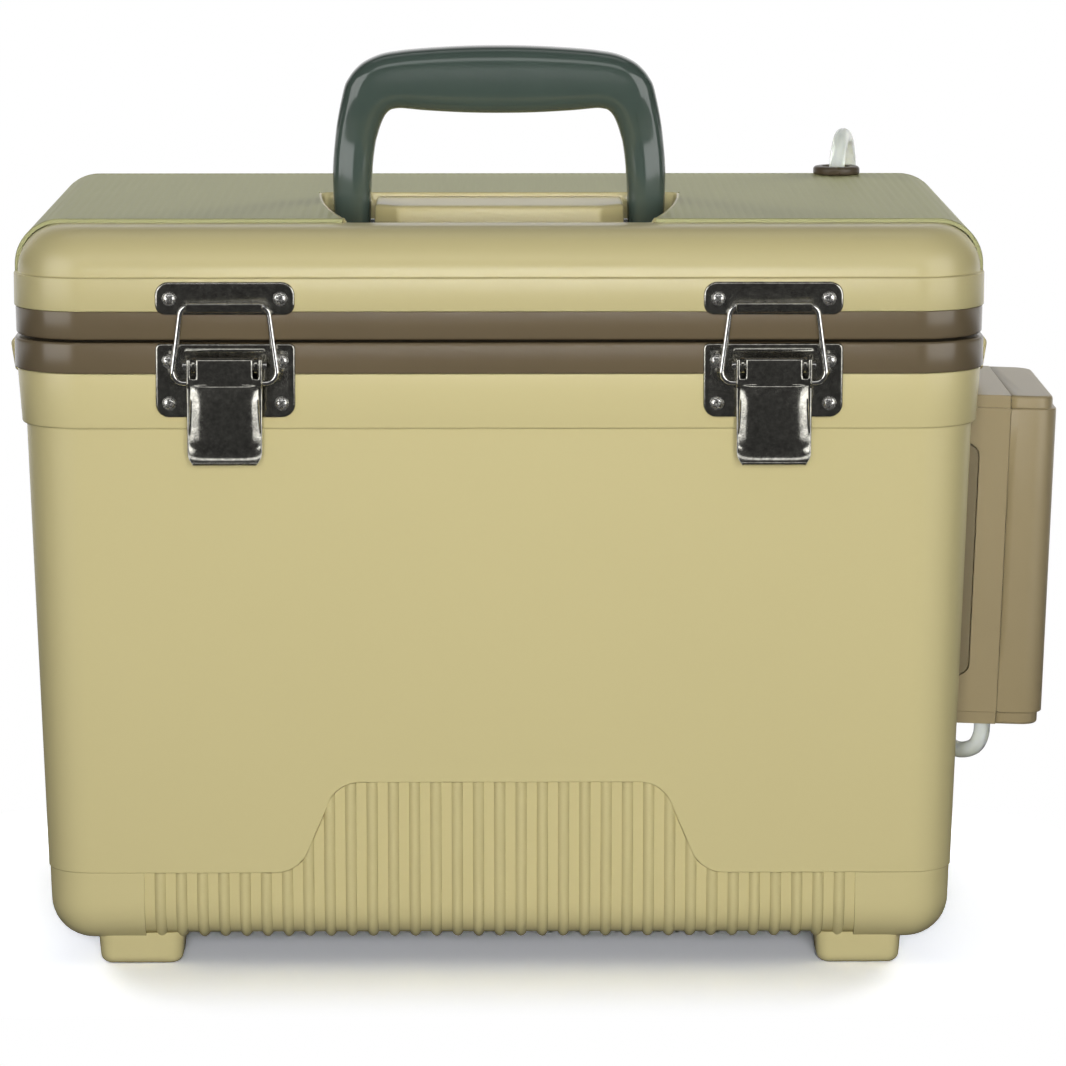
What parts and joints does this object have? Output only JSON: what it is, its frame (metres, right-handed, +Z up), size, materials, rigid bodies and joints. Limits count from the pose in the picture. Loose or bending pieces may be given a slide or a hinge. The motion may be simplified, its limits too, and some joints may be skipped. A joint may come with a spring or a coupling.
{
  "type": "aerated bait bucket",
  "caption": "Insulated live-bait bucket with a hinged lid, draw latches, a folding handle and a battery air pump on its side that feeds an air stone inside.",
  "frame": {"origin": "on the floor under the middle of the box", "axes": "+X to the side that carries the pump, -Y to the front with the latches, +Z up"},
  "size_m": [0.4065, 0.2746, 0.342],
  "materials": {
    "tan_shell": "moulded, fine satin grain",
    "brown_liner": "moulded, satin",
    "lid_liner": "moulded, satin",
    "foam": "rigid foam",
    "seal_rubber": "soft matt rubber",
    "grommet_rubber": "matt rubber",
    "pin_steel": "bright drawn steel",
    "latch_steel": "polished nickel plate",
    "bail_wire": "polished nickel plate",
    "screw_steel": "plated steel",
    "bracket_plastic": "moulded, satin",
    "pump_plastic": "moulded, satin",
    "cell_jacket": "printed steel jacket, plain",
    "contact_metal": "plated spring strip",
    "motor_can": "drawn steel can",
    "white_nylon": "moulded nylon",
    "diaphragm_rubber": "soft rubber",
    "tube_vinyl": "milky clear vinyl",
    "air_stone": "open-grained sintered stone",
    "handle_plastic": "moulded, gloss",
    "switch_plastic": "moulded, satin"
  },
  "bodies": {
    "tub": {"tub_shell": "tan_shell", "tub_foam": "foam", "tub_liner": "brown_liner", "hinge_rods": "pin_steel", "latch_base_left": "latch_steel", "latch_base_right": "latch_steel", "latch_base_screws": "screw_steel", "latch_pins": "pin_steel", "pump_bracket": "bracket_plastic", "bracket_screws": "screw_steel", "pump_case": "pump_plastic", "battery_cells": "cell_jacket", "battery_contacts": "contact_metal", "pump_motor": "motor_can", "pump_head": "white_nylon", "pump_diaphragm": "diaphragm_rubber", "diaphragm_arm": "white_nylon", "air_tube_lower": "tube_vinyl", "air_tube_inner": "tube_vinyl", "air_stone": "air_stone"},
    "lid": {"lid_cover": "tan_shell", "lid_foam": "foam", "lid_liner": "lid_liner", "lid_seal": "seal_rubber", "strike_left": "latch_steel", "strike_right": "latch_steel", "strike_screws": "screw_steel", "handle_pins": "pin_steel", "tube_grommet": "grommet_rubber", "air_tube_upper": "tube_vinyl"},
    "handle": {"handle": "handle_plastic"},
    "lever_left": {"lever_left": "latch_steel"},
    "lever_right": {"lever_right": "latch_steel"},
    "bail_left": {"bail_left": "bail_wire"},
    "bail_right": {"bail_right": "bail_wire"},
    "pump_cover": {"pump_cover": "pump_plastic", "switch_body": "switch_plastic"},
    "switch_knob": {"switch_knob": "switch_plastic"},
    "pump_crank": {"pump_crank": "white_nylon"}
  },
  "joints": [
    {"name": "lid_hinge", "type": "hinge", "parent": "tub", "child": "lid", "pos_m": [0, 0.1316, 0.24015], "axis": [-1, 0, 0], "range_deg": [0, 100], "deforming": ["air_tube_lower", "air_tube_upper", "air_tube_inner"]},
    {"name": "handle_hinge", "type": "hinge", "parent": "lid", "child": "handle", "pos_m": [0, -0.008, 0.272], "axis": [1, 0, 0], "range_deg": [0, 90]},
    {"name": "lever_left_hinge", "type": "hinge", "parent": "tub", "child": "lever_left", "pos_m": [-0.101, -0.1312, 0.2319], "axis": [-1, 0, 0], "range_deg": [0, 90]},
    {"name": "lever_right_hinge", "type": "hinge", "parent": "tub", "child": "lever_right", "pos_m": [0.101, -0.1312, 0.2319], "axis": [-1, 0, 0], "range_deg": [0, 90]},
    {"name": "bail_left_hinge", "type": "hinge", "parent": "lever_left", "child": "bail_left", "pos_m": [-0.101, -0.1312, 0.2255], "axis": [-1, 0, 0], "range_deg": [-78, 0]},
    {"name": "bail_right_hinge", "type": "hinge", "parent": "lever_right", "child": "bail_right", "pos_m": [0.101, -0.1312, 0.2255], "axis": [-1, 0, 0], "range_deg": [-78, 0]},
    {"name": "pump_cover_slide", "type": "slide", "parent": "tub", "child": "pump_cover", "axis": [0.9994, 0, -0.0349], "range_m": [0, 0.025]},
    {"name": "switch_slide", "type": "slide", "parent": "pump_cover", "child": "switch_knob", "axis": [0.0349, 0, 0.9994], "range_m": [0, 0.004]},
    {"name": "motor_spin", "type": "hinge", "parent": "tub", "child": "pump_crank", "pos_m": [0.19114, -0.0173, 0.11941], "axis": [0, 1, 0], "continuous": true}
  ],
  "couplings": [
    {"joint": "bail_left_hinge", "follows": "lever_left_hinge", "ratio": -0.856},
    {"joint": "bail_right_hinge", "follows": "lever_right_hinge", "ratio": -0.856}
  ]
}
